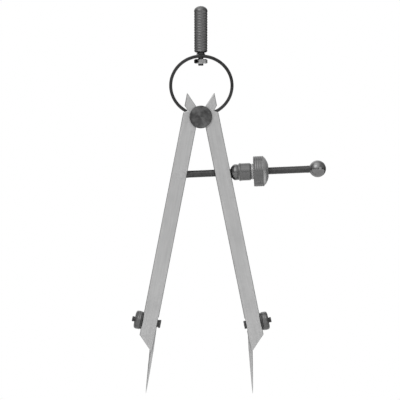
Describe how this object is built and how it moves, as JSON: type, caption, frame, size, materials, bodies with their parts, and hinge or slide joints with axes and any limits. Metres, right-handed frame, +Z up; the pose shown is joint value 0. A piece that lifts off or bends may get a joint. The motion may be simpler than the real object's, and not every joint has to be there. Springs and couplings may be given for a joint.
{
  "type": "spring divider",
  "caption": "Steel spring divider: legs on a fulcrum spool, ring-shaped bow, knurled handle, cross screw with adjusting nut and end ball, and clamped needle points.",
  "frame": {"origin": "centre of the fulcrum's flat back face, on the axis that both legs turn about", "axes": "+X across the legs towards the screw's ball end, +Y out of the fulcrum's back face, +Z up along the handle. The front faces -Y."},
  "size_m": [0.1037, 0.0161, 0.207],
  "materials": {
    "leg_steel": "satin, machined flat bar",
    "needle_steel": "fine ground, tapered",
    "bow_steel": "dark polished spring steel",
    "handle_steel": "plated, diamond knurl",
    "screw_steel": "plated thread",
    "nut_steel": "plated, turned and knurled",
    "ball_steel": "polished",
    "fulcrum_steel": "turned face with fine rings",
    "fastener_steel": "plated"
  },
  "bodies": {
    "frame": {"fulcrum_stud": "fulcrum_steel", "fulcrum_roller": "fulcrum_steel", "fulcrum_cap": "fulcrum_steel", "spring_bow": "bow_steel", "handle": "handle_steel", "handle_stud": "fastener_steel", "bow_nut": "fastener_steel"},
    "left_leg": {"left_leg": "leg_steel", "left_clamp_bolt": "fastener_steel", "left_clamp_washer": "fastener_steel"},
    "right_leg": {"right_leg": "leg_steel", "right_clamp_bolt": "fastener_steel", "right_clamp_washer": "fastener_steel"},
    "screw": {"adjusting_screw": "screw_steel", "screw_ball": "ball_steel", "screw_trunnion": "leg_steel"},
    "swivel_washer": {"swivel_washer": "nut_steel"},
    "adjusting_nut": {"adjusting_nut": "nut_steel"},
    "left_needle": {"left_needle": "needle_steel"},
    "right_needle": {"right_needle": "needle_steel"},
    "left_clamp_nut": {"left_clamp_nut": "fastener_steel"},
    "right_clamp_nut": {"right_clamp_nut": "fastener_steel"}
  },
  "joints": [
    {"name": "left_leg_swing", "type": "hinge", "parent": "frame", "child": "left_leg", "pos_m": [0, -0.00575, 0], "axis": [0, 1, 0], "range_deg": [-10.8, 19], "deforming": ["spring_bow"]},
    {"name": "right_leg_swing", "type": "hinge", "parent": "frame", "child": "right_leg", "pos_m": [0, -0.00575, 0], "axis": [0, 1, 0], "range_deg": [-19, 10.8]},
    {"name": "screw_swivel", "type": "hinge", "parent": "left_leg", "child": "screw", "pos_m": [-0.0108, -0.00575, -0.0307], "axis": [0, 1, 0], "range_deg": [-19, 10.8]},
    {"name": "washer_slide", "type": "slide", "parent": "screw", "child": "swivel_washer", "axis": [0.9991, 0, 0.0419], "range_m": [-0.01128, 0.01984]},
    {"name": "nut_spin", "type": "hinge", "parent": "swivel_washer", "child": "adjusting_nut", "pos_m": [-0.0108, -0.00575, -0.0307], "axis": [0.9991, 0, 0.0419], "range_deg": [-6764, 11899]},
    {"name": "left_needle_slide", "type": "slide", "parent": "left_leg", "child": "left_needle", "axis": [-0.1323, 0, -0.9912], "range_m": [-0.005, 0.004]},
    {"name": "right_needle_slide", "type": "slide", "parent": "right_leg", "child": "right_needle", "axis": [0.0471, 0, -0.9989], "range_m": [-0.005, 0.004]},
    {"name": "left_clamp_nut_spin", "type": "hinge", "parent": "left_leg", "child": "left_clamp_nut", "pos_m": [-0.03345, -0.00575, -0.10818], "axis": [-0.9813, 0, 0.1925], "continuous": true},
    {"name": "right_clamp_nut_spin", "type": "hinge", "parent": "right_leg", "child": "right_clamp_nut", "pos_m": [0.03437, -0.00575, -0.10873], "axis": [0.9799, 0, 0.1994], "continuous": true}
  ],
  "couplings": [
    {"joint": "right_leg_swing", "follows": "left_leg_swing", "ratio": -1},
    {"joint": "screw_swivel", "follows": "left_leg_swing", "ratio": -1},
    {"joint": "washer_slide", "follows": "left_leg_swing", "m_per_rad": 0.0598},
    {"joint": "nut_spin", "follows": "left_leg_swing", "ratio": 626.22}
  ]
}
